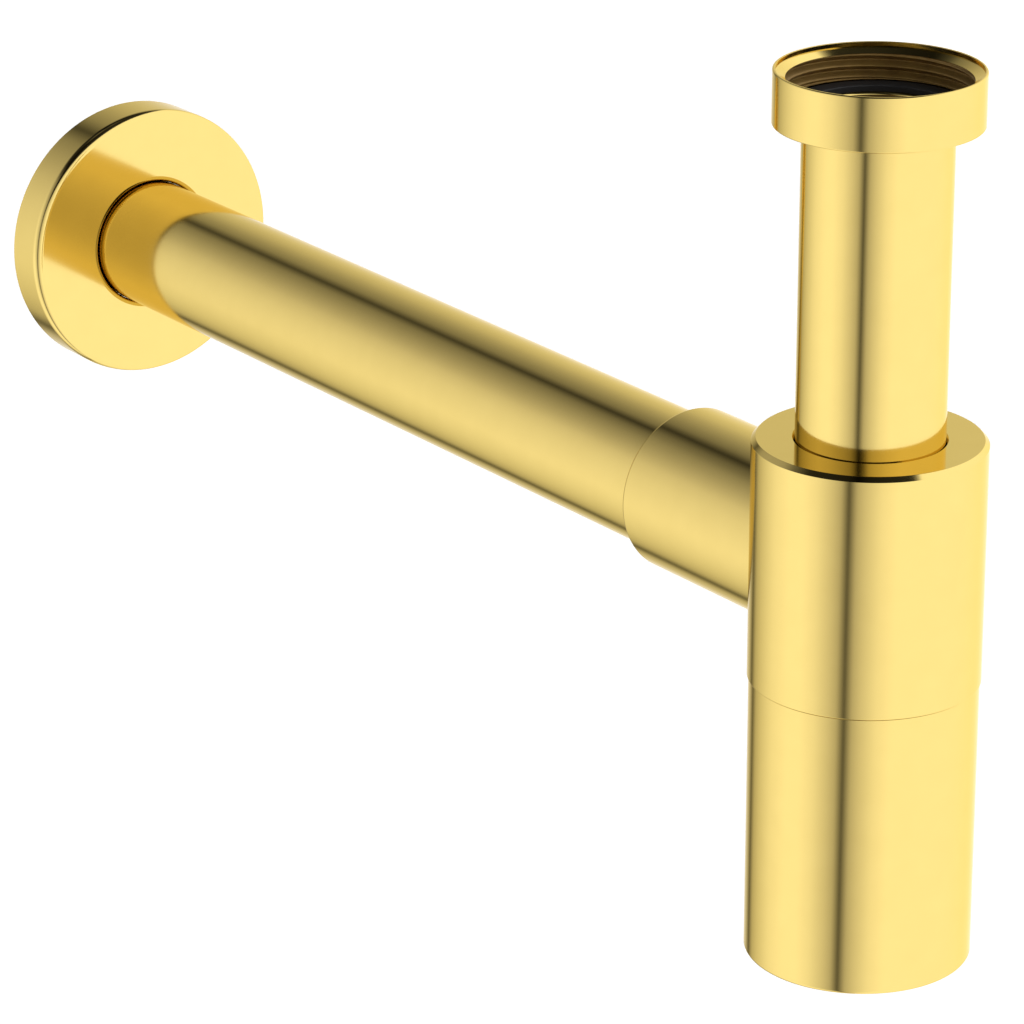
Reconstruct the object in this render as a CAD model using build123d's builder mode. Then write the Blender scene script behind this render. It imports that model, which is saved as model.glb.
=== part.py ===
"""A brass bottle trap for a washbasin, with its wall tube and rosette.

The origin is on the wall tube's axis, in the plane of the finished wall. +Y runs into the wall
and +Z is up, so the bottle hangs in front of the wall at negative Y. Sizes are in millimetres.
"""

import os
from math import isclose

from build123d import *

os.makedirs("parts", exist_ok=True)

# Tubes and their push-fit glands
tube_od = 32.0
tube_wall = 1.0
tube_end_chamfer = 0.4
gland_clearance = 0.15
gland_mouth_break = 0.35
seal_section = 1.8
seal_clearance = 0.1
seal_groove_width = 2.2
seal_inset = 5.0
seal_pitch = 6.0

# Wall tube and rosette
wall_reach = 300.0
spigot_length = 26.0
depth_mark_width = 1.0
depth_mark_depth = 0.2
rosette_od = 70.0
rosette_depth = 11.55
rosette_face_thickness = 2.0
rosette_skirt = 1.8
rosette_front_round = 2.0
rosette_hole_round = 1.5
rosette_collar_wall = 1.6
rosette_collar_gap = 3.0

# Bottle body and its outlet branch
water_gap = 7.2
body_wall = 2.0
body_above_outlet = 30.0
body_below_outlet = 24.2
body_top_chamfer = 1.0
body_bottom_round = 0.2
body_top_plate = 4.0
gland_boss_wall = 1.6
gland_boss_lift = 0.4
branch_reach = 62.0
branch_wall_over_groove = 0.75
branch_end_round = 1.0
branch_stop = 27.5
tube_stop_gap = 2.5

# Cleaning cup
cup_height = 64.3
cup_step = 0.35
cup_wall = 1.85
cup_floor = 2.0
cup_bottom_round = 0.8
cup_joint_gap = 0.15
cup_thread_step = 0.45
cup_thread_clearance = 0.15
cup_spigot_height = 7.7
cup_spigot_wall = 1.4
cup_spigot_lead = 0.5
cup_inner_shoulder = 2.2
cup_seal_section = 1.5
cup_seal_clearance = 0.1

# Inlet tube and its union nut
inlet_height = 110.15
water_seal = 59.0
flange_thickness = 0.8
flange_clearance = 0.33
flange_round = 0.25
flange_flare = 0.6
washer_thickness = 1.5
washer_overhang = 0.3
slip_ring_thickness = 0.5
nut_height = 11.7
nut_lip = 1.2
nut_wall = 1.2
nut_hole_clearance = 0.3
nut_edge_round = 0.35
nut_mouth_wall = 0.6
nut_mouth_depth = 0.95
nut_lead_in = 1.05
thread_major_d = 41.91
thread_minor_d = 38.95
thread_end_gap = 0.15

# How closely an edge has to match a radius to be picked by it
radius_match = 0.0001

# Radii and levels that follow from the driving dimensions
tube_r = tube_od / 2
tube_bore_r = tube_r - tube_wall
gland_r = tube_r + gland_clearance
seal_r = tube_r + seal_clearance + seal_section / 2
groove_r = seal_r + seal_section / 2 + seal_clearance
branch_r = groove_r + branch_wall_over_groove
boss_r = groove_r + gland_boss_wall

chamber_r = tube_r + water_gap
body_r = chamber_r + body_wall
body_top = body_above_outlet
body_bottom = -body_below_outlet
boss_bottom = tube_bore_r + gland_boss_lift
chamber_top = body_top - body_top_plate
inlet_seal_upper = body_top - seal_inset
inlet_seal_lower = inlet_seal_upper - seal_pitch

cup_r = body_r - cup_step
cup_bore_r = cup_r - cup_wall
cup_bottom = body_bottom - cup_height
cup_shoulder = body_bottom - cup_joint_gap
cup_spigot_top = cup_shoulder + cup_spigot_height
cup_thread_r = chamber_r - cup_thread_step
cup_spigot_r = cup_thread_r - cup_thread_clearance
cup_spigot_bore_r = cup_spigot_r - cup_spigot_wall
cup_bore_top = cup_shoulder - cup_inner_shoulder
cup_seal_r = cup_spigot_r + cup_seal_clearance + cup_seal_section / 2
cup_seal_level = cup_shoulder + cup_seal_section / 2
cup_seal_seat_r = cup_seal_r + cup_seal_section / 2 + cup_seal_clearance
cup_seal_seat_top = cup_shoulder + cup_seal_section + 2 * cup_seal_clearance

nut_top = inlet_height
nut_bottom = nut_top - nut_height
nut_lip_top = nut_bottom + nut_lip
flange_bottom = nut_lip_top + slip_ring_thickness
flange_top = flange_bottom + flange_thickness
washer_top = flange_top + washer_thickness
thread_bottom = washer_top + thread_end_gap
thread_minor_r = thread_minor_d / 2
thread_major_r = thread_major_d / 2
nut_r = thread_major_r + nut_wall
nut_mouth_r = nut_r - nut_mouth_wall
nut_mouth_floor = nut_top - nut_mouth_depth
thread_top = nut_mouth_floor - nut_lead_in
nut_hole_r = tube_r + nut_hole_clearance
flange_r = thread_minor_r - flange_clearance
dip_end = -(tube_bore_r + water_seal)

rosette_r = rosette_od / 2
rosette_front = -rosette_depth
rosette_back_of_face = rosette_front + rosette_face_thickness
rosette_collar_r = groove_r + rosette_collar_wall
rosette_collar_end = -rosette_collar_gap
rosette_seal_y = (rosette_back_of_face + rosette_collar_end) / 2
branch_end = branch_reach - wall_reach
branch_stop_y = branch_stop - wall_reach
outlet_seal_outer = branch_end - seal_inset
outlet_seal_inner = outlet_seal_outer - seal_pitch
wall_tube_end = branch_stop_y + tube_stop_gap

# Half sections: local X is the radius, local Y is the height or the distance along the outlet
bottle_axis = Axis((0, -wall_reach, 0), (0, 0, 1))
bottle_section = Plane(origin=(0, -wall_reach, 0), x_dir=(1, 0, 0), z_dir=(0, -1, 0))
outlet_axis = Axis.Y
outlet_section = Plane.XY


def circles(part, radius):
    """The circular edges of a part that have this radius."""
    round_edges = part.edges().filter_by(GeomType.CIRCLE)
    return round_edges.filter_by(lambda edge: isclose(edge.radius, radius, abs_tol=radius_match))


def save(builder, name):
    """Label a finished piece and write it."""
    builder.part.label = name
    export_step(builder.part, f"parts/{name}.step")


# Wall tube, with a fine turned line that marks how deep it goes into the wall
with BuildPart() as wall_tube:
    with BuildSketch(outlet_section):
        with BuildLine():
            Polyline(
                (tube_bore_r, wall_tube_end),
                (tube_r, wall_tube_end),
                (tube_r, -depth_mark_width),
                (tube_r - depth_mark_depth, -depth_mark_width),
                (tube_r - depth_mark_depth, 0),
                (tube_r, 0),
                (tube_r, spigot_length),
                (tube_bore_r, spigot_length),
                close=True,
            )
        make_face()
    revolve(axis=outlet_axis)
    tube_ends = circles(wall_tube, tube_r).sort_by(Axis.Y)
    chamfer([tube_ends[0], tube_ends[-1]], tube_end_chamfer)
save(wall_tube, "wall_tube")

# Rosette: a shallow turned cap, open at the back, with a collar that carries its grip ring
with BuildPart() as rosette:
    with BuildSketch(outlet_section):
        with BuildLine():
            Polyline(
                (gland_r, rosette_front),
                (rosette_r, rosette_front),
                (rosette_r, 0),
                (rosette_r - rosette_skirt, 0),
                (rosette_r - rosette_skirt, rosette_back_of_face),
                (rosette_collar_r, rosette_back_of_face),
                (rosette_collar_r, rosette_collar_end),
                (gland_r, rosette_collar_end),
                close=True,
            )
        make_face()
        with Locations((groove_r, rosette_seal_y)):
            Rectangle(
                groove_r - gland_r,
                seal_groove_width,
                align=(Align.MAX, Align.CENTER),
                mode=Mode.SUBTRACT,
            )
    revolve(axis=outlet_axis)
    fillet(circles(rosette, rosette_r).sort_by(Axis.Y)[0], rosette_front_round)
    fillet(circles(rosette, gland_r).sort_by(Axis.Y)[0], rosette_hole_round)
save(rosette, "rosette")

# Body: bottle shell with the inlet gland in its top and the outlet branch in one piece with it
with BuildPart() as body:
    with BuildSketch(bottle_section):
        with BuildLine():
            Polyline(
                (0, body_bottom),
                (body_r, body_bottom),
                (body_r, body_top),
                (0, body_top),
                close=True,
            )
        make_face()
    revolve(axis=bottle_axis)
    chamfer(circles(body, body_r).sort_by(Axis.Z)[-1], body_top_chamfer)
    fillet(circles(body, body_r).sort_by(Axis.Z)[0], body_bottom_round)
    with BuildSketch(outlet_section):
        with BuildLine():
            Polyline(
                (0, -wall_reach),
                (branch_r, -wall_reach),
                (branch_r, branch_end),
                (0, branch_end),
                close=True,
            )
        make_face()
    revolve(axis=outlet_axis)
    fillet(circles(body, branch_r).sort_by(Axis.Y)[-1], branch_end_round)
    # Chamber, thread land, seal seat and inlet gland
    with BuildSketch(bottle_section):
        with BuildLine():
            Polyline(
                (0, body_bottom),
                (cup_seal_seat_r, body_bottom),
                (cup_seal_seat_r, cup_seal_seat_top),
                (cup_thread_r, cup_seal_seat_top),
                (cup_thread_r, cup_spigot_top),
                (chamber_r, cup_spigot_top),
                (chamber_r, chamber_top),
                (boss_r, chamber_top),
                (boss_r, boss_bottom),
                (gland_r, boss_bottom),
                (gland_r, body_top - gland_mouth_break),
                (gland_r + gland_mouth_break, body_top),
                (0, body_top),
                close=True,
            )
        make_face()
        with Locations((gland_r, inlet_seal_upper), (gland_r, inlet_seal_lower)):
            Rectangle(groove_r - gland_r, seal_groove_width, align=(Align.MIN, Align.CENTER))
    revolve(axis=bottle_axis, mode=Mode.SUBTRACT)
    # Waterway and wall tube gland
    with BuildSketch(outlet_section):
        with BuildLine():
            Polyline(
                (0, tube_r - wall_reach),
                (tube_bore_r, tube_r - wall_reach),
                (tube_bore_r, branch_stop_y),
                (gland_r, branch_stop_y),
                (gland_r, branch_end - gland_mouth_break),
                (gland_r + gland_mouth_break, branch_end),
                (0, branch_end),
                close=True,
            )
        make_face()
        with Locations((gland_r, outlet_seal_outer), (gland_r, outlet_seal_inner)):
            Rectangle(groove_r - gland_r, seal_groove_width, align=(Align.MIN, Align.CENTER))
    revolve(axis=outlet_axis, mode=Mode.SUBTRACT)
save(body, "body")

# Cleaning cup, with a spigot that screws up into the body
with BuildPart() as cup:
    with BuildSketch(bottle_section):
        with BuildLine():
            Polyline(
                (0, cup_bottom),
                (cup_r, cup_bottom),
                (cup_r, cup_shoulder),
                (cup_spigot_r, cup_shoulder),
                (cup_spigot_r, cup_spigot_top),
                (cup_spigot_bore_r, cup_spigot_top),
                (cup_spigot_bore_r, cup_bore_top),
                (cup_bore_r, cup_bore_top - (cup_bore_r - cup_spigot_bore_r)),
                (cup_bore_r, cup_bottom + cup_floor),
                (0, cup_bottom + cup_floor),
                close=True,
            )
        make_face()
    revolve(axis=bottle_axis)
    fillet(circles(cup, cup_r).sort_by(Axis.Z)[0], cup_bottom_round)
    chamfer(circles(cup, cup_spigot_r).sort_by(Axis.Z)[-1], cup_spigot_lead)
save(cup, "cup")

# Inlet tube: dips into the cup, and its top end is rolled out into a flange
with BuildPart() as inlet_tube:
    with BuildSketch(bottle_section):
        with BuildLine():
            Polyline(
                (tube_bore_r, dip_end),
                (tube_r, dip_end),
                (tube_r, flange_bottom),
                (flange_r, flange_bottom),
                (flange_r, flange_top),
                (tube_bore_r, flange_top),
                close=True,
            )
        make_face()
    revolve(axis=bottle_axis)
    chamfer(circles(inlet_tube, tube_r).sort_by(Axis.Z)[0], tube_end_chamfer)
    fillet(circles(inlet_tube, tube_r).sort_by(Axis.Z)[-1], flange_round)
    fillet(circles(inlet_tube, tube_bore_r).sort_by(Axis.Z)[-1], flange_flare)
save(inlet_tube, "inlet_tube")

# Union nut, turned, with a relief below its thread for the flange, the washer and the slip ring
with BuildPart() as inlet_nut:
    with BuildSketch(bottle_section):
        with BuildLine():
            Polyline(
                (nut_hole_r, nut_bottom),
                (nut_r, nut_bottom),
                (nut_r, nut_top),
                (nut_mouth_r, nut_top),
                (nut_mouth_r, nut_mouth_floor),
                (thread_minor_r, thread_top),
                (thread_minor_r, thread_bottom),
                (thread_major_r, thread_bottom),
                (thread_major_r, nut_lip_top),
                (nut_hole_r, nut_lip_top),
                close=True,
            )
        make_face()
    revolve(axis=bottle_axis)
    nut_rims = circles(inlet_nut, nut_r).sort_by(Axis.Z)
    fillet(nut_rims[0], nut_edge_round)
    fillet(nut_rims[-1], nut_edge_round)
save(inlet_nut, "inlet_nut")

# Flat rings inside the nut: inner radius, bottom and thickness
flat_rings = {
    "inlet_washer": (tube_bore_r + washer_overhang, flange_top, washer_thickness),
    "nut_slip_ring": (nut_hole_r, nut_lip_top, slip_ring_thickness),
}
for name, (inner_r, bottom, thickness) in flat_rings.items():
    with BuildPart() as flat_ring:
        with BuildSketch(Plane.XY.offset(bottom)):
            with Locations((0, -wall_reach)):
                Circle(flange_r)
                Circle(inner_r, mode=Mode.SUBTRACT)
        extrude(amount=thickness)
    save(flat_ring, name)

# O-rings: section plane, axis, centre of the section and its diameter
o_rings = {
    "inlet_o_ring_upper": (bottle_section, bottle_axis, (seal_r, inlet_seal_upper), seal_section),
    "inlet_o_ring_lower": (bottle_section, bottle_axis, (seal_r, inlet_seal_lower), seal_section),
    "outlet_o_ring_outer": (outlet_section, outlet_axis, (seal_r, outlet_seal_outer), seal_section),
    "outlet_o_ring_inner": (outlet_section, outlet_axis, (seal_r, outlet_seal_inner), seal_section),
    "rosette_o_ring": (outlet_section, outlet_axis, (seal_r, rosette_seal_y), seal_section),
    "cup_seal": (bottle_section, bottle_axis, (cup_seal_r, cup_seal_level), cup_seal_section),
}
for name, (section, axis, centre, diameter) in o_rings.items():
    with BuildPart() as o_ring:
        with BuildSketch(section):
            with Locations(centre):
                Circle(diameter / 2)
        revolve(axis=axis)
    save(o_ring, name)
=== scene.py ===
# %% [markdown]
# A bottle trap for a washbasin, finished in gold.
# The packed model gives every piece its place and size. This lesson gives the pieces their looks: it turns
# each one again as a fine mesh, cuts the threads, and paints gold, bare brass darkened with painted shade,
# rubber and nylon.

# %% Load the packed model
import math

import bpy
import numpy as np
from mathutils import Euler, Matrix, Vector


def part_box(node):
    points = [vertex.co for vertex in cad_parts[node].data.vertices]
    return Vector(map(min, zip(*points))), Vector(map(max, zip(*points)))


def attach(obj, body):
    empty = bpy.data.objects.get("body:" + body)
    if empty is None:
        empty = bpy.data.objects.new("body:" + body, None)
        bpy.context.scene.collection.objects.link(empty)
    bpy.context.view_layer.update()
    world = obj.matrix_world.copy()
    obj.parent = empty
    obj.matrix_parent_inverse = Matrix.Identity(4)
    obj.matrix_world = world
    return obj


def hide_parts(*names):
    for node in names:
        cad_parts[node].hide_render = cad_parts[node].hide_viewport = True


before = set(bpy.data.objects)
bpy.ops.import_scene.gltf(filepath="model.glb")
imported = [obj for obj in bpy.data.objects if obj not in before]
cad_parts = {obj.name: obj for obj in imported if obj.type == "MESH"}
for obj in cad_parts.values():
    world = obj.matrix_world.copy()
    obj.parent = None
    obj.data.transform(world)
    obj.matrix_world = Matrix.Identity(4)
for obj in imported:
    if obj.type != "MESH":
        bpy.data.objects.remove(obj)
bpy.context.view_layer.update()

print("packed nodes:", ", ".join(sorted(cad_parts)))

# %% [markdown]
# Sizes in this lesson are millimetres, as on a workshop drawing, and Blender's are metres.
# The outer sizes are read from the packed model, so that they are written down only once. Both axes of the
# trap lie in the plane X = 0, so a piece's reach along X is its radius, whichever way it points.

# %% Sizes from the packed model
MM = 0.001
Y, Z = 1, 2


def turned_size(node, axis):
    """Radius, lowest and highest level along an axis of a packed piece, in millimetres."""
    low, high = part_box(node)
    return tuple(round(value / MM, 3) for value in (high.x, low[axis], high[axis]))


tube_r, wall_tube_inner, wall_tube_outer = turned_size("wall_tube", Y)
rosette_r, rosette_front, rosette_back = turned_size("rosette", Y)
body_r, body_bottom, body_top = turned_size("body", Z)
_, bottle_back, branch_end = turned_size("body", Y)
cup_r, cup_bottom, spigot_top = turned_size("cup", Z)
flange_r, dip_end, flange_top = turned_size("inlet_tube", Z)
nut_r, nut_bottom, nut_top = turned_size("inlet_nut", Z)
bottle_y = bottle_back + body_r
print(f"tube radius {tube_r}, bottle radius {body_r}, bottle axis at y = {bottle_y}")

# %% [markdown]
# One small function adds a node, sets its properties, and sets or links its inputs. Every node tree below,
# for shapes, finishes and light, is written with it. A node given as an input stands for its first output.

# %% A helper for node trees
def add(tree, kind, inputs=None, **settings):
    """Add a node; an input is a value, or the socket or the node that feeds it."""
    node = tree.nodes.new(kind)
    for name, value in settings.items():
        setattr(node, name, value)
    for name, value in (inputs or {}).items():
        if isinstance(value, bpy.types.Node):
            value = value.outputs[0]
        if isinstance(value, bpy.types.NodeSocket):
            tree.links.new(value, node.inputs[name])
        else:
            node.inputs[name].default_value = value
    return node


print("node trees for Blender", bpy.app.version_string)

# %% [markdown]
# Colours are picked as sRGB hex values, as a colour picker shows them. Shaders work in linear light, so one
# function turns the first into the second.

# %% Colours
def colour(hex_value):
    """A linear RGBA colour from an sRGB hex value."""
    parts = [int(hex_value[i:i + 2], 16) / 255 for i in (1, 3, 5)]
    return [c / 12.92 if c <= 0.04045 else ((c + 0.055) / 1.055) ** 2.4 for c in parts] + [1.0]


print("half of the light is the grey #BCBCBC, in linear terms", round(colour("#BCBCBC")[0], 2))

# %% [markdown]
# No real surface is the same all over, and one that is looks false. Each finish of the trap varies in three
# ways that go together, so one noise pattern drives them: it mixes two close colours, moves the roughness
# between two values and raises a shallow bump. The pattern's size and the bump's height are in millimetres.
# What is the same all over is set on the shader itself.

# %% Uneven finishes
BUMP_STRENGTH = 0.3


def uneven(name, grain_size, detail, colours, roughness, relief, constants):
    """A material whose colour, roughness and surface vary with one noise pattern."""
    material = bpy.data.materials.new(name)
    material.use_nodes = True
    tree = material.node_tree
    shader = tree.nodes["Principled BSDF"]
    for socket, value in constants.items():
        shader.inputs[socket].default_value = value
    place = add(tree, "ShaderNodeTexCoord").outputs["Object"]
    scale = 1 / (grain_size * MM)
    grain = add(tree, "ShaderNodeTexNoise", {"Vector": place, "Scale": scale, "Detail": detail})
    first, second = map(colour, colours)
    shade = add(tree, "ShaderNodeMix", {"Factor": grain, "A": first, "B": second}, data_type="RGBA")
    tree.links.new(shade.outputs["Result"], shader.inputs["Base Color"])
    smoothest, roughest = roughness
    polish = add(tree, "ShaderNodeMapRange", {"Value": grain, "To Min": smoothest, "To Max": roughest})
    tree.links.new(polish.outputs["Result"], shader.inputs["Roughness"])
    bump = add(tree, "ShaderNodeBump", {"Height": grain, "Strength": BUMP_STRENGTH, "Distance": relief * MM})
    tree.links.new(bump.outputs["Normal"], shader.inputs["Normal"])
    return material


print("uneven:", uneven.__doc__)

# %% [markdown]
# The metal is brass, polished and then coated gold in a vacuum. Base Color is what a metal reflects face on,
# a pale gold here, and reflections of gold in gold come out deeper by themselves. Specular Tint keeps the
# gold at the edges, where plain metal would mirror in white. Polishing leaves cloudy patches a few
# millimetres wide in the roughness, and ripples far shallower than a hair, which bend the reflections a
# little.

# %% Gold-coated brass
gold = uneven(
    "gold_coated_brass",
    grain_size=6.0,
    detail=3.0,
    colours=("#D6BE74", "#D2BA70"),
    roughness=(0.09, 0.12),
    relief=0.002,
    constants={"Metallic": 1.0, "Specular Tint": colour("#F3E8C4")},
)
print("finish:", gold.name)

# %% [markdown]
# The coating hardly reaches inside, so the bores of the tubes and the nut's thread are bare brass. It is set
# half metallic and rough, so that it scatters light where clean metal mirrors it, and the bores show some
# depth where a mirror would go black. Its brown is painted shade, far darker than bare brass: it darkens the
# inside of the bores and dims the highlights on the thread.

# %% Bare brass with painted shade
bare_brass_and_shade = uneven(
    "bare_brass_with_oxide",
    grain_size=4.0,
    detail=3.0,
    # painted shade: both browns are far darker than bare brass, and stand for the shade inside the bores
    colours=("#9C7E40", "#765A2C"),
    roughness=(0.4, 0.6),
    relief=0.02,
    constants={"Metallic": 0.5},
)
print("finish:", bare_brass_and_shade.name)

# %% [markdown]
# The seals are black EPDM rubber, moulded and matt. Talc and moulding leave a grain, which shows as a
# slightly uneven grey and a soft bump. The real grain is too fine to see, so it is drawn several times
# coarser here.

# %% Black rubber
rubber = uneven(
    "black_epdm_rubber",
    grain_size=0.4,
    detail=4.0,
    colours=("#161617", "#28282A"),
    roughness=(0.5, 0.7),
    relief=0.02,
    constants={},
)
print("finish:", rubber.name)

# %% [markdown]
# The slip ring is natural nylon: off-white, waxy, and slightly see-through at its edges. A little subsurface
# light gives the wax, and faint clouds from moulding keep its white, its sheen and its surface from being
# flat.

# %% White nylon
nylon = uneven(
    "natural_nylon",
    grain_size=3.0,
    detail=2.0,
    colours=("#E9E6DC", "#DEDACD"),
    roughness=(0.35, 0.45),
    relief=0.02,
    constants={"Subsurface Weight": 0.15, "Subsurface Scale": 0.5 * MM},
)
print("finish:", nylon.name)

# %% [markdown]
# Nearly every piece of the trap is turned: a lathe spins the brass and a tool follows a half section.
# Geometry Nodes can do the same, and can cut the threads as well. Each tree begins with its named inputs, and
# ends by realizing instances and setting the material, so both ends of a tree are written once.

# %% Ends of a node tree
def start_tree(name, inputs):
    """A new Geometry Nodes tree with named inputs, and the sockets that give them."""
    tree = bpy.data.node_groups.new(name, "GeometryNodeTree")
    for label, kind in inputs.items():
        tree.interface.new_socket(label, in_out="INPUT", socket_type="NodeSocket" + kind)
    return tree, add(tree, "NodeGroupInput").outputs


def end_tree(tree, geometry, finish):
    """Realize and paint what a tree has made, and give it out as the piece."""
    tree.interface.new_socket("Piece", in_out="OUTPUT", socket_type="NodeSocketGeometry")
    real = add(tree, "GeometryNodeRealizeInstances", {"Geometry": geometry})
    painted = add(tree, "GeometryNodeSetMaterial", {"Geometry": real, "Material": finish})
    add(tree, "NodeGroupOutput", {"Piece": painted})


print("start_tree:", start_tree.__doc__)
print("end_tree:", end_tree.__doc__)

# %% [markdown]
# The lathe's section is a closed loop of edges with a corner radius on each point. Fillet Curve rounds the
# corners, and Curve to Mesh carries the loop round a guide circle. The loop's X is measured from that circle
# and its Y runs down the axis, because that is how Curve to Mesh lays a section on a circle.

# %% A lathe
GUIDE_RADIUS = 0.02
WELD = 1e-6

lathe, given = start_tree(
    "turn on a lathe",
    {"Section": "Geometry", "Segments": "Int", "Corner steps": "Int", "Finish": "Material"},
)
corner = add(lathe, "GeometryNodeInputNamedAttribute", {"Name": "corner_round"}, data_type="FLOAT")
loop = add(lathe, "GeometryNodeMeshToCurve", {"Mesh": given["Section"]})
rounded = add(
    lathe,
    "GeometryNodeFilletCurve",
    {"Curve": loop, "Count": given["Corner steps"], "Radius": corner, "Limit Radius": True},
    mode="POLY",
)
guide = add(
    lathe,
    "GeometryNodeCurvePrimitiveCircle",
    {"Resolution": given["Segments"], "Radius": GUIDE_RADIUS},
)
swept = add(lathe, "GeometryNodeCurveToMesh", {"Curve": guide, "Profile Curve": rounded})
welded = add(lathe, "GeometryNodeMergeByDistance", {"Geometry": swept, "Distance": WELD})
end_tree(lathe, welded, given["Finish"])
print("lathe nodes:", len(lathe.nodes))

# %% [markdown]
# A thread is a groove that climbs one pitch in each turn. A swept ridge would need its ends blended into the
# wall, so the groove is cut by a rule instead, which moves each point of the wall along its radius. First the
# tree finds out where a point lies: its distance from the axis, the way outwards, and if it is on the wall.

# %% Thread cutter: places
THREAD_REACH = 0.02 * MM

sizes = ("Wall radius", "Depth", "Pitch", "Bottom", "Top", "Run-out")
cutter_inputs = {"Piece": "Geometry", **dict.fromkeys(sizes, "Float"), "Finish": "Material"}
thread_cutter, given = start_tree("cut a thread", cutter_inputs)
position = add(thread_cutter, "GeometryNodeInputPosition")
split = add(thread_cutter, "ShaderNodeSeparateXYZ", {0: position}).outputs
across = add(thread_cutter, "ShaderNodeCombineXYZ", {"X": split["X"], "Y": split["Y"]})
distance = add(thread_cutter, "ShaderNodeVectorMath", {0: across}, operation="LENGTH").outputs["Value"]
outward = add(thread_cutter, "ShaderNodeVectorMath", {0: across}, operation="NORMALIZE")
on_wall = add(
    thread_cutter,
    "ShaderNodeMath",
    {0: distance, 1: given["Wall radius"], 2: THREAD_REACH},
    operation="COMPARE",
)
print("thread cutter inputs:", ", ".join(cutter_inputs))

# %% [markdown]
# The groove is a rounded wave. A point's height in pitches, less its share of a turn, tells how many pitches
# it lies above the groove. Ping-Pong folds that to 0 in the groove and half a pitch on the crest.

# %% Thread cutter: groove
HALF_PITCH = 0.5

angle = add(thread_cutter, "ShaderNodeMath", {0: split["Y"], 1: split["X"]}, operation="ARCTAN2")
turns = add(thread_cutter, "ShaderNodeMath", {0: angle, 1: 2 * math.pi}, operation="DIVIDE")
pitches = add(thread_cutter, "ShaderNodeMath", {0: split["Z"], 1: given["Pitch"]}, operation="DIVIDE")
climb = add(thread_cutter, "ShaderNodeMath", {0: pitches, 1: turns}, operation="SUBTRACT")
from_groove = add(thread_cutter, "ShaderNodeMath", {0: climb, 1: HALF_PITCH}, operation="PINGPONG")
groove = add(
    thread_cutter,
    "ShaderNodeMapRange",
    {"Value": from_groove, "From Max": HALF_PITCH, "To Min": 1.0, "To Max": 0.0},
    interpolation_type="SMOOTHSTEP",
)
print("groove wave:", groove.interpolation_type.lower())

# %% [markdown]
# The cut fades out at both ends of the thread, as a tool runs out. Its depth is positive for a thread in a
# bore, where points move outwards, and negative for a thread on a spigot.

# %% Thread cutter: depth and cut
above = add(thread_cutter, "ShaderNodeMath", {0: split["Z"], 1: given["Bottom"]}, operation="SUBTRACT")
below = add(thread_cutter, "ShaderNodeMath", {0: given["Top"], 1: split["Z"]}, operation="SUBTRACT")
to_end = add(thread_cutter, "ShaderNodeMath", {0: above, 1: below}, operation="MINIMUM")
depth = add(
    thread_cutter,
    "ShaderNodeMapRange",
    {"Value": to_end, "From Min": 0.0, "From Max": given["Run-out"], "To Max": given["Depth"]},
)
cut = add(thread_cutter, "ShaderNodeMath", {0: groove, 1: depth}, operation="MULTIPLY")
offset = add(thread_cutter, "ShaderNodeVectorMath", {0: outward, "Scale": cut}, operation="SCALE")
moved = add(
    thread_cutter,
    "GeometryNodeSetPosition",
    {"Geometry": given["Piece"], "Selection": on_wall, "Offset": offset},
)
end_tree(thread_cutter, moved, given["Finish"])
print("thread cutter nodes:", len(thread_cutter.nodes))

# %% [markdown]
# A modifier runs each tree. Its inputs are set by the sockets' identifiers, and the evaluated object is then
# kept as a plain mesh, so that nothing live is left on the piece.

# %% Running a tree
def run_tree(piece, tree, **inputs):
    """Add a node tree to a piece with its named inputs, where a name's underscores are spaces."""
    modifier = piece.modifiers.new(tree.name, "NODES")
    modifier.node_group = tree
    for socket in tree.interface.items_tree:
        name = socket.name.replace(" ", "_").replace("-", "_").lower()
        if socket.in_out == "INPUT" and name in inputs:
            modifier[socket.identifier] = inputs[name]


def plain_mesh(piece):
    """Apply what the modifiers make, and remove them."""
    graph = bpy.context.evaluated_depsgraph_get()
    mesh = bpy.data.meshes.new_from_object(piece.evaluated_get(graph), depsgraph=graph)
    piece.modifiers.clear()
    piece.data = mesh
    mesh.name = piece.name
    return mesh


print("trees to run:", ", ".join(tree.name for tree in (lathe, thread_cutter)))

# %% [markdown]
# A section is a list of points, each with its radius, its level along the axis and the round of its corner.
# Sections are drawn in either direction and turned the right way round by the sign of their area, so that
# every face points outwards. Levels are measured along Z on the bottle's axis and along Y on the outlet's.

# %% Turning a piece
SEGMENTS = 256
CORNER_STEPS = 8
on_bottle_axis = Matrix.Translation((0, bottle_y * MM, 0))
on_outlet_axis = Euler((-math.pi / 2, 0, 0)).to_matrix().to_4x4()


def turn(name, section, finish, place, thread=None):
    """A turned piece from a half section of (radius, level) or (radius, level, corner round) points."""
    corners = [(point + (0.0,))[:3] for point in section]
    points = [(radius * MM - GUIDE_RADIUS, -level * MM) for radius, level, _ in corners]
    rounds = [corner * MM for _, _, corner in corners]
    area = sum(a[0] * b[1] - b[0] * a[1] for a, b in zip(points, points[1:] + points[:1]))
    if area < 0:
        points.reverse()
        rounds.reverse()
    mesh = bpy.data.meshes.new(name)
    count = len(points)
    mesh.from_pydata([(x, y, 0) for x, y in points], [(i, (i + 1) % count) for i in range(count)], [])
    mesh.attributes.new("corner_round", "FLOAT", "POINT").data.foreach_set("value", rounds)
    piece = bpy.data.objects.new(name, mesh)
    bpy.context.scene.collection.objects.link(piece)
    run_tree(piece, lathe, segments=SEGMENTS, corner_steps=CORNER_STEPS, finish=finish)
    if thread:
        run_tree(piece, thread_cutter, finish=finish, **{key: value * MM for key, value in thread.items()})
    plain_mesh(piece).transform(place)
    return piece


print("facets on the bottle:", round(2 * math.pi * body_r / SEGMENTS, 2), "mm wide")

# %% [markdown]
# A mirror finish shows every error of the normals. Averaged normals bend at the rim of a flat face and
# wobble where a surface was cut, so each corner gets the true normal of a turned surface instead: straight
# away from its axis, with a lean along the axis. The trap has two axes.

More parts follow.
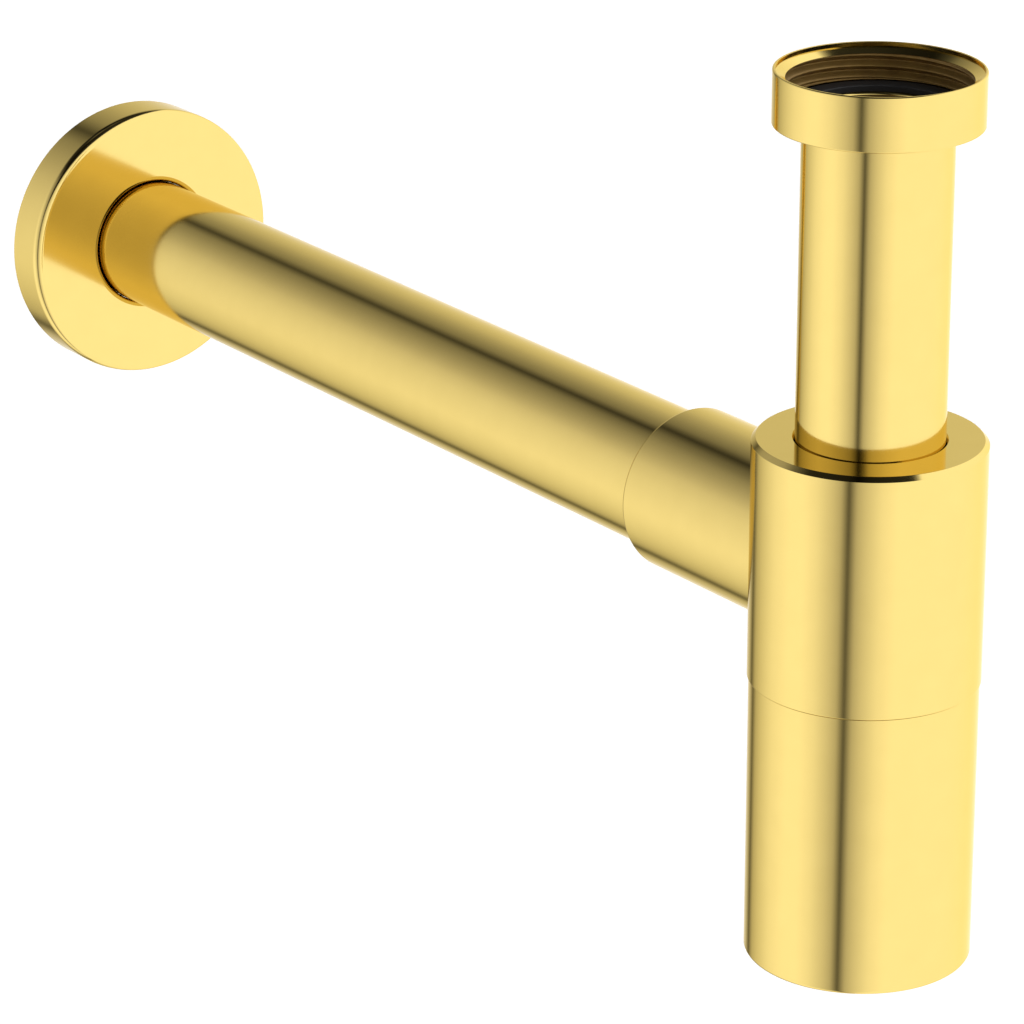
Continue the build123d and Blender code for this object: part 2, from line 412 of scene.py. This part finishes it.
# %% Two axes
AXES = {
    "bottle": (np.array((0, bottle_y * MM, 0)), np.array((0, 0, 1))),
    "outlet": (np.array((0, 0, 0)), np.array((0, 1, 0))),
}


def measured_from(axis_name, places):
    """Levels of some places along an axis, and vectors straight away from it to them."""
    origin, direction = AXES[axis_name]
    arms = places - origin
    levels = arms @ direction
    return levels, arms - np.outer(levels, direction)


def away_from(axis_name, places):
    """Unit vectors straight away from an axis to some places."""
    _, arms = measured_from(axis_name, places)
    return arms / np.maximum(np.linalg.norm(arms, axis=1, keepdims=True), WELD)


print("axes:", ", ".join(AXES))

# %% [markdown]
# A face belongs to the axis that its normal points away from, so the axis with the least twist is chosen. Its
# lean is how far the normal points along that axis and how far away from it.

# %% Lean of each face
def mesh_values(items, name, size, kind=np.float32):
    """One property of all of a mesh's points, corners or faces, as rows of an array."""
    values = np.empty((len(items), size), kind)
    items.foreach_get(name, values.ravel())
    return values


def face_leans(mesh, axis_names):
    """For each face the number of its axis, and its lean along and away from that axis."""
    centre = mesh_values(mesh.polygons, "center", 3)
    normal = mesh_values(mesh.polygons, "normal", 3)
    least_twist = np.full(len(normal), np.inf)
    turned_on = np.zeros(len(normal), int)
    lean = np.zeros((len(normal), 2))
    for number, name in enumerate(axis_names):
        along = normal @ AXES[name][1]
        outwards = np.einsum("ij,ij->i", normal, away_from(name, centre))
        twist = np.abs(1 - along**2 - outwards**2)
        slant = np.sign(outwards) * np.sqrt(np.maximum(1 - along**2, 0))
        closer = twist < least_twist
        least_twist[closer] = twist[closer]
        turned_on[closer] = number
        lean[closer] = np.stack((along, slant), 1)[closer]
    return turned_on, lean


print("face_leans:", face_leans.__doc__)

# %% [markdown]
# Faces share a lean where they meet, so every pair of corners at the same point is needed. Sorting the
# corners by their points puts the corners of one point side by side.

# %% Corners that meet
def meeting_corners(point_of):
    """All pairs of corners that lie at the same point, each corner with itself among them."""
    order = np.argsort(point_of, kind="stable")
    sorted_points = point_of[order]
    meeting = np.bincount(point_of)[sorted_points]
    first = np.repeat(order, meeting)
    step = np.arange(len(first)) - np.repeat(np.cumsum(meeting) - meeting, meeting)
    second = order[np.repeat(np.searchsorted(sorted_points, sorted_points), meeting) + step]
    return first, second


example = np.transpose(meeting_corners(np.array((0, 1, 0))))
print("pairs of three corners at points 0, 1 and 0:", example.tolist())

# %% [markdown]
# At each point the faces that lean nearly alike share one lean, where large faces count most, so rounded
# edges are smooth and flat faces stay flat. Each corner then points straight away from the axis, with that
# lean.

# %% True normals
SOFT_ANGLE = 20
SOFT_EDGE = math.cos(math.radians(SOFT_ANGLE))


def true_normals(piece, axis_names):
    """Give every corner of a turned piece the normal of its surface of revolution."""
    mesh = piece.data
    mesh.shade_smooth()
    turned_on, lean = face_leans(mesh, axis_names)
    area = mesh_values(mesh.polygons, "area", 1)[:, 0]
    points = mesh_values(mesh.vertices, "co", 3)
    point_of = mesh_values(mesh.loops, "vertex_index", 1, np.int32)[:, 0]
    corners = mesh_values(mesh.polygons, "loop_total", 1, np.int32)[:, 0]
    face_of = np.repeat(np.arange(len(corners)), corners)
    first, second = meeting_corners(point_of)
    own, other = face_of[first], face_of[second]
    alike = np.einsum("ij,ij->i", lean[own], lean[other]) > SOFT_EDGE
    weight = area[other].astype(float) ** 2 * (alike & (turned_on[own] == turned_on[other]))
    shared = np.stack([np.bincount(first, weight * lean[other, part]) for part in (0, 1)], 1)
    shared /= np.linalg.norm(shared, axis=1, keepdims=True)
    result = np.empty((len(point_of), 3))
    for number, name in enumerate(axis_names):
        here = turned_on[face_of] == number
        outward = away_from(name, points[point_of[here]])
        result[here] = shared[here, :1] * AXES[name][1] + shared[here, 1:] * outward
    mesh.normals_split_custom_set(result.tolist())


print("edges flatter than", SOFT_ANGLE, "degrees are smooth")

# %% [markdown]
# A finished piece rides on one of the packed model's bodies and stands for one of its nodes, which is hidden.

# %% Handing a piece over
def finished(piece, body, slot, node, *axis_names):
    """Give a piece its normals, and hand it to the body and the packed node that it stands for."""
    true_normals(piece, axis_names)
    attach(piece, body)
    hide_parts(node)
    print(piece.name, "has", len(piece.data.polygons), "faces and rides on", body)


# %% [markdown]
# The bare faces of a piece are found by where they lie: within a radius of its axis, and between two levels
# along it. They get the darker brass, as painted shade inside the bore.

# %% Bare bores with painted shade
BORE_REACH = 0.02


def bare_and_shaded_bore(piece, axis_name, radius, bottom, top):
    """Paint a piece's bore as bare brass darkened with painted shade, out to a radius and between two levels,
    in millimetres.
    """
    mesh = piece.data
    mesh.materials.append(bare_brass_and_shade)
    levels, arms = measured_from(axis_name, mesh_values(mesh.polygons, "center", 3))
    # the faces inside the bore get the dark brass, which is painted shade
    in_reach = np.linalg.norm(arms, axis=1) < (radius + BORE_REACH) * MM
    in_shaded_bore = in_reach & (levels > bottom * MM) & (levels < top * MM)
    mesh.polygons.foreach_set("material_index", in_shaded_bore.astype(np.int32))
    print(piece.name, "has", np.count_nonzero(in_shaded_bore), "bare faces")


print("bores are painted", bare_brass_and_shade.name)

# %% [markdown]
# The wall tube is drawn brass pipe, parted off with a small chamfer at each end. A fine turned line shows how
# deep it goes into the wall.

# %% Wall tube
tube_wall = 1.0
end_chamfer = 0.4
edge_break = 0.1
mark_width = 1.0
mark_depth = 0.2
tube_bore_r = tube_r - tube_wall

wall_tube = turn(
    "turned_wall_tube",
    [
        (tube_bore_r, wall_tube_inner, edge_break),
        (tube_r - end_chamfer, wall_tube_inner, edge_break),
        (tube_r, wall_tube_inner + end_chamfer, edge_break),
        (tube_r, -mark_width),
        (tube_r - mark_depth, -mark_width),
        (tube_r - mark_depth, 0),
        (tube_r, 0),
        (tube_r, wall_tube_outer - end_chamfer, edge_break),
        (tube_r - end_chamfer, wall_tube_outer, edge_break),
        (tube_bore_r, wall_tube_outer, edge_break),
    ],
    gold,
    on_outlet_axis,
)
# The tube's bore is painted darker brass, as painted shade.
bare_and_shaded_bore(wall_tube, "outlet", tube_bore_r, wall_tube_inner, wall_tube_outer)
finished(wall_tube, "wall_tube", "gold_brass", "wall_tube", "outlet")

# %% [markdown]
# The rosette is a shallow cap that hides the hole in the wall. Its front edge is well rounded, and so is its
# hole where it meets the tube. A collar inside carries the grip ring.

# %% Rosette
gland_clearance = 0.15
groove_depth = 2.0
groove_half = 1.1
face_thickness = 2.0
skirt_wall = 1.8
collar_wall = 1.6
collar_gap = 3.0
front_round = 2.0
hole_round = 1.5
inner_round = 0.5
gland_r = tube_r + gland_clearance
groove_r = tube_r + groove_depth
face_back = rosette_front + face_thickness
skirt_r = rosette_r - skirt_wall
collar_r = groove_r + collar_wall
collar_end = rosette_back - collar_gap
grip_y = (face_back + collar_end) / 2

rosette = turn(
    "turned_rosette",
    [
        (gland_r, rosette_front, hole_round),
        (rosette_r, rosette_front, front_round),
        (rosette_r, rosette_back, edge_break),
        (skirt_r, rosette_back, edge_break),
        (skirt_r, face_back, inner_round),
        (collar_r, face_back, inner_round),
        (collar_r, collar_end, edge_break),
        (gland_r, collar_end, edge_break),
        (gland_r, grip_y + groove_half),
        (groove_r, grip_y + groove_half),
        (groove_r, grip_y - groove_half),
        (gland_r, grip_y - groove_half),
    ],
    gold,
    on_outlet_axis,
)
finished(rosette, "rosette", "gold_brass", "rosette", "outlet")

# %% [markdown]
# The body is one casting, machined all over: a bottle with a branch at its side. Each holds a tube in a
# gland, a bore with two grooves for O-rings. The glands are alike, so one function draws both.

# %% Glands
seal_inset = 5.0
seal_pitch = 6.0
mouth_break = 0.35


def gland(mouth):
    """Section points of a gland's wall with its two grooves, from its mouth downwards."""
    points = [(gland_r + mouth_break, mouth), (gland_r, mouth - mouth_break)]
    for level in (mouth - seal_inset, mouth - seal_inset - seal_pitch):
        points += [
            (gland_r, level + groove_half),
            (groove_r, level + groove_half),
            (groove_r, level - groove_half),
            (gland_r, level - groove_half),
        ]
    return points


print("a gland's section has", len(gland(body_top)), "points")

# %% [markdown]
# The bottle is turned as a hollow ring. Its gland runs down through the top plate into a boss, and below lie
# the chamber, the land round the cup's spigot and the seat of the cup's seal.

# %% Bottle
water_gap = 7.2
top_plate = 4.0
boss_wall = 1.6
boss_lift = 0.4
land_step = 0.45
joint_gap = 0.15
thread_clearance = 0.15
seat_size = 1.7
top_chamfer = 1.0
bottom_round = 0.2
chamber_r = tube_r + water_gap
chamber_top = body_top - top_plate
boss_r = groove_r + boss_wall
boss_bottom = tube_bore_r + boss_lift
land_r = chamber_r - land_step
spigot_r = land_r - thread_clearance
cup_shoulder = body_bottom - joint_gap
seat_r = spigot_r + seat_size
seat_top = cup_shoulder + seat_size

body = turn(
    "turned_body",
    [
        (seat_r, body_bottom),
        (body_r, body_bottom, bottom_round),
        (body_r, body_top - top_chamfer, edge_break),
        (body_r - top_chamfer, body_top, edge_break),
    ]
    + gland(body_top)
    + [
        (gland_r, boss_bottom),
        (boss_r, boss_bottom),
        (boss_r, chamber_top),
        (chamber_r, chamber_top),
        (chamber_r, spigot_top),
        (land_r, spigot_top),
        (land_r, seat_top),
        (seat_r, seat_top),
    ],
    gold,
    on_bottle_axis,
)
print(body.name, "has", len(body.data.polygons), "faces before it is drilled")

# %% [markdown]
# The branch is turned on its own axis. Boolean modifiers then drill the bottle's wall, trim the branch to the
# bottle's chamber and join the two. The drill and the trimming core are a trace larger than the bores that
# they open, because a Boolean is unsure of surfaces that coincide. A Weld modifier then merges the points
# that lie on top of each other, where the facets of bottle and branch meet.

# %% Branch and the finished body
branch_wall = 0.75
branch_end_round = 1.0
branch_r = groove_r + branch_wall
root_reach = 14.5
stop_reach = 27.5
branch_root = bottle_y + root_reach
branch_stop = bottle_y + stop_reach
core_overshoot = 5.0
trace = 0.02

branch = turn(
    "branch",
    [(tube_bore_r, branch_root), (branch_r, branch_root), (branch_r, branch_end, branch_end_round)]
    + gland(branch_end)
    + [(gland_r, branch_stop), (tube_bore_r, branch_stop)],
    gold,
    on_outlet_axis,
)
drill_r = tube_bore_r + trace
drill = turn(
    "drill",
    [(0, branch_root), (drill_r, branch_root), (drill_r, branch_stop), (0, branch_stop)],
    gold,
    on_outlet_axis,
)
core_r = chamber_r + trace
core_bottom = body_bottom - core_overshoot
core = turn(
    "core",
    [(0, core_bottom), (core_r, core_bottom), (core_r, body_top), (0, body_top)],
    gold,
    on_bottle_axis,
)
for piece, tool, operation in (
    (body, drill, "DIFFERENCE"),
    (branch, core, "DIFFERENCE"),
    (body, branch, "UNION"),
):
    cut = piece.modifiers.new(tool.name, "BOOLEAN")
    cut.object = tool
    cut.operation = operation
    cut.solver = "EXACT"
    plain_mesh(piece)
for tool in (branch, drill, core):
    bpy.data.objects.remove(tool)
weld = body.modifiers.new("weld", "WELD")
weld.merge_threshold = WELD
plain_mesh(body)
finished(body, "trap_body", "gold_brass", "body", "bottle", "outlet")

# %% [markdown]
# A thread is cut by moving points, so the wall that takes it needs many. A row of points every few hundredths
# of a millimetre keeps the thread's flanks smooth.

# %% Rows for a thread
thread_row = 0.04


def rows(radius, start, end):
    """Section points along a straight wall, close enough together to be cut into a thread."""
    count = round(abs(end - start) / thread_row)
    return [(radius, start + (end - start) * i / count) for i in range(count + 1)]


print("rows in a millimetre:", len(rows(spigot_r, 0, 1)) - 1)

# %% [markdown]
# The cup screws up into the body. Its spigot carries a fine right-hand thread, which shows when the cup comes
# down. Inside it is hollow, with a cone where the spigot's bore widens and a rounded floor.

# %% Cleaning cup
spigot_wall = 1.4
spigot_lead = 0.5
cup_wall = 1.85
floor_thickness = 2.0
shoulder_thickness = 2.2
cup_bottom_round = 0.8
cup_floor_round = 1.0
cup_thread_depth = 0.6
cup_thread_pitch = 2.0
cup_run_out = 0.6
spigot_bore_r = spigot_r - spigot_wall
cup_bore_r = cup_r - cup_wall
cup_floor = cup_bottom + floor_thickness
cup_neck = cup_shoulder - shoulder_thickness
cup_thread_bottom = seat_top
cup_thread_top = spigot_top - spigot_lead

cup = turn(
    "turned_cup",
    [
        (0, cup_bottom),
        (cup_r, cup_bottom, cup_bottom_round),
        (cup_r, cup_shoulder, edge_break),
        (spigot_r, cup_shoulder),
    ]
    + rows(spigot_r, cup_thread_bottom, cup_thread_top)
    + [
        (spigot_r - spigot_lead, spigot_top),
        (spigot_bore_r, spigot_top, edge_break),
        (spigot_bore_r, cup_neck),
        (cup_bore_r, cup_neck - (cup_bore_r - spigot_bore_r)),
        (cup_bore_r, cup_floor, cup_floor_round),
        (0, cup_floor),
    ],
    gold,
    on_bottle_axis,
    thread={
        "wall_radius": spigot_r,
        "depth": -cup_thread_depth,
        "pitch": cup_thread_pitch,
        "bottom": cup_thread_bottom,
        "top": spigot_top,
        "run_out": cup_run_out,
    },
)
finished(cup, "cup", "gold_brass", "cup", "bottle")

# %% [markdown]
# The inlet tube dips into the cup's water. Its top end is rolled out into a flange, with a small flare inside
# where the metal bends.

# %% Inlet tube
flange_thickness = 0.8
flange_round = 0.25
flange_rim_round = 0.2
flange_flare = 0.6
flange_bottom = flange_top - flange_thickness

inlet_tube = turn(
    "turned_inlet_tube",
    [
        (tube_bore_r, dip_end, edge_break),
        (tube_r - end_chamfer, dip_end, edge_break),
        (tube_r, dip_end + end_chamfer, edge_break),
        (tube_r, flange_bottom, flange_round),
        (flange_r, flange_bottom, flange_rim_round),
        (flange_r, flange_top, flange_rim_round),
        (tube_bore_r, flange_top, flange_flare),
    ],
    gold,
    on_bottle_axis,
)
# The tube's bore is painted darker brass, as painted shade.
bare_and_shaded_bore(inlet_tube, "bottle", tube_bore_r, dip_end, flange_top)
finished(inlet_tube, "inlet_tube", "gold_brass", "inlet_tube", "bottle")

# %% [markdown]
# The union nut is round and smooth outside. Inside its mouth are a thin rim, a short step and a shallow cone
# that leads into a G 1 1/4 thread, with 11 turns to the inch. Below the thread a relief holds the flange.

# %% Union nut
inch = 25.4
turns_to_the_inch = 11
thread_minor = 38.95
thread_major = 41.91
nut_run_out = 0.5
mouth_wall = 0.6
mouth_depth = 0.95
lead_in = 1.05
washer_thickness = 1.5
thread_end_gap = 0.15
nut_lip = 1.2
nut_hole_clearance = 0.3
nut_round = 0.35
thread_minor_r = thread_minor / 2
thread_major_r = thread_major / 2
nut_mouth_r = nut_r - mouth_wall
mouth_floor = nut_top - mouth_depth
nut_thread_top = mouth_floor - lead_in
washer_top = flange_top + washer_thickness
nut_thread_bottom = washer_top + thread_end_gap
lip_top = nut_bottom + nut_lip
nut_hole_r = tube_r + nut_hole_clearance

inlet_nut = turn(
    "turned_inlet_nut",
    [
        (nut_hole_r, nut_bottom, edge_break),
        (nut_r, nut_bottom, nut_round),
        (nut_r, nut_top, nut_round),
        (nut_mouth_r, nut_top, edge_break),
        (nut_mouth_r, mouth_floor),
    ]
    + rows(thread_minor_r, nut_thread_top, nut_thread_bottom)
    + [
        (thread_major_r, nut_thread_bottom),
        (thread_major_r, lip_top),
        (nut_hole_r, lip_top),
    ],
    gold,
    on_bottle_axis,
    thread={
        "wall_radius": thread_minor_r,
        "depth": thread_major_r - thread_minor_r,
        "pitch": inch / turns_to_the_inch,
        "bottom": nut_thread_bottom,
        "top": nut_thread_top,
        "run_out": nut_run_out,
    },
)
# The thread is painted darker brass, as painted shade inside the nut.
bare_and_shaded_bore(inlet_nut, "bottle", thread_major_r, nut_thread_bottom, nut_thread_top)
finished(inlet_nut, "union_nut", "gold_brass", "inlet_nut", "bottle")

# %% [markdown]
# The soft rings are turned from their sections too: a circle for an O-ring, and a rectangle with broken
# corners for the washer and the slip ring. A round corner as large as half the side makes a square a circle.

# %% Sections of rings
corners_in_height = 6


def square(radius, level, side):
    """Section of an O-ring: a square whose corner rounds meet in the middle of its sides."""
    half = side / 2
    return [(radius + half * x, level + half * y, half) for x, y in ((-1, -1), (1, -1), (1, 1), (-1, 1))]


def flat(inner_r, bottom, top):
    """Section of a flat ring as wide as the flange."""
    corner = (top - bottom) / corners_in_height
    corners = ((inner_r, bottom), (flange_r, bottom), (flange_r, top), (inner_r, top))
    return [(radius, level, corner) for radius, level in corners]


print("corners of a ring's section:", len(flat(tube_r, flange_top, washer_top)))

# %% [markdown]
# Two O-rings lie in each gland, one grips the wall tube in the rosette's collar, and one lies on the cup's
# shoulder. The washer lies on the flange and the slip ring below it. The slip ring has a trace of play on
# both sides, so that the nut turns on it freely.

# %% Rings and washers
seal_clearance = 0.1
seal_section = 1.8
cup_seal_section = 1.5
washer_overhang = 0.3
slip_play = 0.02
seal_r = tube_r + seal_clearance + seal_section / 2
cup_seal_r = spigot_r + seal_clearance + cup_seal_section / 2
upper = body_top - seal_inset
lower = upper - seal_pitch
outer = branch_end - seal_inset
inner = outer - seal_pitch
cup_seal_level = cup_shoulder + cup_seal_section / 2
washer_r = tube_bore_r + washer_overhang
slip_bottom = lip_top + slip_play
slip_top = flange_bottom - slip_play
rings = (
    ("inlet_o_ring_upper", "inlet_seals", on_bottle_axis, square(seal_r, upper, seal_section)),
    ("inlet_o_ring_lower", "inlet_seals", on_bottle_axis, square(seal_r, lower, seal_section)),
    ("outlet_o_ring_outer", "outlet_seals", on_outlet_axis, square(seal_r, outer, seal_section)),
    ("outlet_o_ring_inner", "outlet_seals", on_outlet_axis, square(seal_r, inner, seal_section)),
    ("rosette_o_ring", "rosette_grip", on_outlet_axis, square(seal_r, grip_y, seal_section)),
    ("cup_seal", "cup_ring", on_bottle_axis, square(cup_seal_r, cup_seal_level, cup_seal_section)),
    ("inlet_washer", "inlet_tube", on_bottle_axis, flat(washer_r, flange_top, washer_top)),
    ("nut_slip_ring", "nut_ring", on_bottle_axis, flat(nut_hole_r, slip_bottom, slip_top)),
)
for node, carrier, place, section in rings:
    is_nylon = node == "nut_slip_ring"
    ring = turn("moulded_" + node, section, nylon if is_nylon else rubber, place)
    slot = "white_plastic" if is_nylon else "black_rubber"
    finished(ring, carrier, slot, node, "bottle" if place is on_bottle_axis else "outlet")

# %% [markdown]
# The floor is plain and white for the camera. Soft light alone leaves it pale grey, so its paint glows a
# little for camera rays only, and it still takes the trap's shadow.

# %% Floor paint
def white_floor_paint():
    """Plain white paint that glows a little for the camera."""
    material = bpy.data.materials.new("white_studio_floor")
    material.use_nodes = True
    tree = material.node_tree
    tree.nodes.clear()
    ray = add(tree, "ShaderNodeLightPath").outputs["Is Camera Ray"]
    paint = add(tree, "ShaderNodeBsdfDiffuse", {"Color": colour("#F2F2F2")})
    glow = add(tree, "ShaderNodeEmission", {"Color": colour("#BEBEBE"), "Strength": ray})
    both = add(tree, "ShaderNodeAddShader", {0: paint, 1: glow})
    add(tree, "ShaderNodeOutputMaterial", {"Surface": both})
    return material


floor_paint = white_floor_paint()
print("finish:", floor_paint.name)

# %% [markdown]
# The trap hangs on a wall, well above the floor. Polished metal would mirror nothing but floor, so the floor
# is kept out of its reflections.

# %% Floor
floor_level = -500.0
floor_half = 6000.0

floor_mesh = bpy.data.meshes.new("studio_floor")
floor_corners = ((-1, -1), (1, -1), (1, 1), (-1, 1))
floor_points = [(x * floor_half * MM, y * floor_half * MM, floor_level * MM) for x, y in floor_corners]
floor_mesh.from_pydata(floor_points, [], [(0, 1, 2, 3)])
floor_mesh.materials.append(floor_paint)
floor = bpy.data.objects.new("studio_floor", floor_mesh)
bpy.context.scene.collection.objects.link(floor)
floor.visible_glossy = False
print("stage:", floor.name)

# %% [markdown]
# Polished metal has no look of its own: it shows the studio. Here that is two broad white walls with a dark
# gap between them at the front left and another behind the trap, and a dark ceiling. It could be built from
# lamps and cards, but is painted in the world by direction, where every line can be put exactly. Only the
# camera's own rays see plain white. Mirrored rays see the studio, because gold in plain white looks flat.
# The first value needed is a direction's azimuth in degrees, 0 at the front and rising towards the right.

# %% Studio directions
studio = bpy.data.worlds.new("studio")
studio.use_nodes = True
sky = studio.node_tree
sky.nodes.clear()
direction = add(sky, "ShaderNodeTexCoord").outputs["Generated"]
split = add(sky, "ShaderNodeSeparateXYZ", {0: direction}).outputs
front = add(sky, "ShaderNodeMath", {0: split["Y"], 1: -1.0}, operation="MULTIPLY")
angle = add(sky, "ShaderNodeMath", {0: split["X"], 1: front}, operation="ARCTAN2")
azimuth = add(sky, "ShaderNodeMath", {0: angle}, operation="DEGREES")
print("world:", studio.name)

# %% [markdown]
# The gaps draw the dark lines down the tubes. Each is given by its azimuth and by the rule for how fast the
# walls brighten away from it: a slope, less a lean times the height, times the degrees, plus a start. A small
# slope makes a soft gap, a lean makes it wider towards the ceiling, and a start keeps it from being black.

# %% Gaps between the walls
HALF_TURN = 180.0
GAPS = ((-59.0, 0.86, 0.42, 0.0), (175.5, 0.75, 0.0, 0.8))

from_gap = []
for gap, slope, lean, start in GAPS:
    apart = add(sky, "ShaderNodeMath", {0: azimuth, 1: gap}, operation="SUBTRACT")
    wrapped = add(sky, "ShaderNodeMath", {0: apart, 1: HALF_TURN, 2: -HALF_TURN}, operation="WRAP")
    degrees = add(sky, "ShaderNodeMath", {0: wrapped}, operation="ABSOLUTE")
    rate = add(sky, "ShaderNodeMath", {0: split["Z"], 1: -lean, 2: slope}, operation="MULTIPLY_ADD")
    from_gap.append(add(sky, "ShaderNodeMath", {0: degrees, 1: rate, 2: start}, operation="MULTIPLY_ADD"))
nearer_gap = add(sky, "ShaderNodeMath", {0: from_gap[0], 1: from_gap[1]}, operation="MINIMUM")
print("gaps at azimuths", [gap for gap, *_ in GAPS])

# %% [markdown]
# The ceiling darkens what faces up. Over the left wall it sets in with the height of a direction. Over the
# right wall it has two straight edges, one to the right and one to the front. A straight edge is a plane
# through the trap, so the dot product of a direction with a vector across the edge tells how far past it the
# direction lies, and the larger of the two counts.

# %% Ceiling
CEILING_EDGES = ((3.0, -1.55, -1.83), (0.35, -1.0, -1.15))

past_edges = [
    add(sky, "ShaderNodeVectorMath", {0: direction, 1: edge}, operation="DOT_PRODUCT").outputs["Value"]
    for edge in CEILING_EDGES
]
past_ceiling = add(sky, "ShaderNodeMath", {0: past_edges[0], 1: past_edges[1]}, operation="MAXIMUM")
print("ceiling edges:", len(past_edges))

# %% [markdown]
# Three colour ramps turn these values into light: one for the distance from a gap, one for the height on the
# left, and one for the distance past the ceiling on the right. A ramp is a row of values and their greys.

# %% Ramps of light
WALL_RAMP_END = 60.0
WALL_RAMP = ((0, 0.06), (8, 0.46), (16, 0.62), (32, 0.87), (48, 1.0))
LEFT_RAMP = (
    (-0.3, 0.99),
    (0.2, 0.81),
    (0.38, 0.705),
    (0.64, 0.395),
    (0.72, 0.13),
    (0.8, 0.02),
    (0.95, 0.02),
    (0.99, 0.13),
)
RIGHT_RAMP = ((-0.25, 0.02), (-0.15, 0.12), (0.0, 0.5), (0.08, 1.0))

ramps = []
for value, low, high, stops in (
    (nearer_gap, 0.0, WALL_RAMP_END, WALL_RAMP),
    (split["Z"], -1.0, 1.0, LEFT_RAMP),
    (past_ceiling, -1.0, 1.0, RIGHT_RAMP),
):
    share = add(sky, "ShaderNodeMapRange", {"Value": value, "From Min": low, "From Max": high})
    ramp = add(sky, "ShaderNodeValToRGB", {"Fac": share})
    elements = ramp.color_ramp.elements
    elements.remove(elements[1])
    for number, (at, grey) in enumerate(stops):
        position = (at - low) / (high - low)
        element = elements.new(position) if number else elements[0]
        element.position = position
        element.color = (grey, grey, grey, 1)
    ramps.append(ramp)
walls, left, right = ramps
print("ramp stops:", [len(ramp.color_ramp.elements) for ramp in ramps])

# %% [markdown]
# The right wall begins at the front gap and fades into the left one behind the trap. The two ceilings are
# mixed by that, the gaps are multiplied in, and the result lights the trap.

# %% Studio light
RIGHT_WALL_FADE = (115.0, 140.0)
WALL_LIGHT = 1.62

front_gap, *_ = GAPS[0]
fade_start, fade_end = RIGHT_WALL_FADE
fade = add(
    sky,
    "ShaderNodeMapRange",
    {"Value": azimuth, "From Min": fade_start, "From Max": fade_end, "To Min": 1.0, "To Max": 0.0},
)
past_start = add(sky, "ShaderNodeMath", {0: azimuth, 1: front_gap}, operation="GREATER_THAN")
on_right = add(sky, "ShaderNodeMath", {0: fade, 1: past_start}, operation="MULTIPLY")
ceiling = add(sky, "ShaderNodeMix", {"Factor": on_right, "A": left, "B": right}, data_type="RGBA")
light = add(
    sky,
    "ShaderNodeMix",
    {"Factor": 1.0, "A": walls, "B": ceiling.outputs["Result"]},
    data_type="RGBA",
    blend_type="MULTIPLY",
)
mirrored = add(sky, "ShaderNodeBackground", {"Color": light.outputs["Result"], "Strength": WALL_LIGHT})
white = add(sky, "ShaderNodeBackground", {"Color": colour("#FFFFFF")})
seen = add(sky, "ShaderNodeLightPath").outputs["Is Camera Ray"]
either = add(sky, "ShaderNodeMixShader", {0: seen, 1: mirrored, 2: white})
add(sky, "ShaderNodeOutputWorld", {"Surface": either})
bpy.context.scene.world = studio
print("world nodes:", len(sky.nodes))

# %% [markdown]
# The camera looks down at the trap from the front left through a long lens, which keeps the tubes' sides
# nearly parallel. Its axes are built from its azimuth, elevation and a trace of roll.

# %% Camera
view_azimuth = math.radians(-35.8145)
view_elevation = math.radians(20.7307)
view_roll = math.radians(-0.0975)
camera_place = Vector((-599.366, -1001.456, 361.292))
lens_pixels = 4636.145
frame_pixels = 1024
sensor_width = 36.0


def photo_camera():
    """A camera at the photograph's angle."""
    data = bpy.data.cameras.new("camera")
    data.sensor_width = sensor_width
    data.lens = lens_pixels / frame_pixels * sensor_width
    flat_reach = math.cos(view_elevation)
    back = Vector((
        math.sin(view_azimuth) * flat_reach,
        -math.cos(view_azimuth) * flat_reach,
        math.sin(view_elevation),
    ))
    right = Vector((math.cos(view_azimuth), math.sin(view_azimuth), 0))
    axes = Matrix((right, back.cross(right), back)).transposed().to_4x4()
    camera = bpy.data.objects.new("camera", data)
    camera.matrix_world = Matrix.Translation(camera_place * MM) @ axes @ Matrix.Rotation(view_roll, 4, "Z")
    bpy.context.scene.collection.objects.link(camera)
    return camera


bpy.context.scene.camera = photo_camera()
bpy.context.scene.view_settings.view_transform = "Standard"
print("camera lens:", round(bpy.context.scene.camera.data.lens, 2), "mm")

# %% [markdown]
# The visual model may not be larger than the packed one.
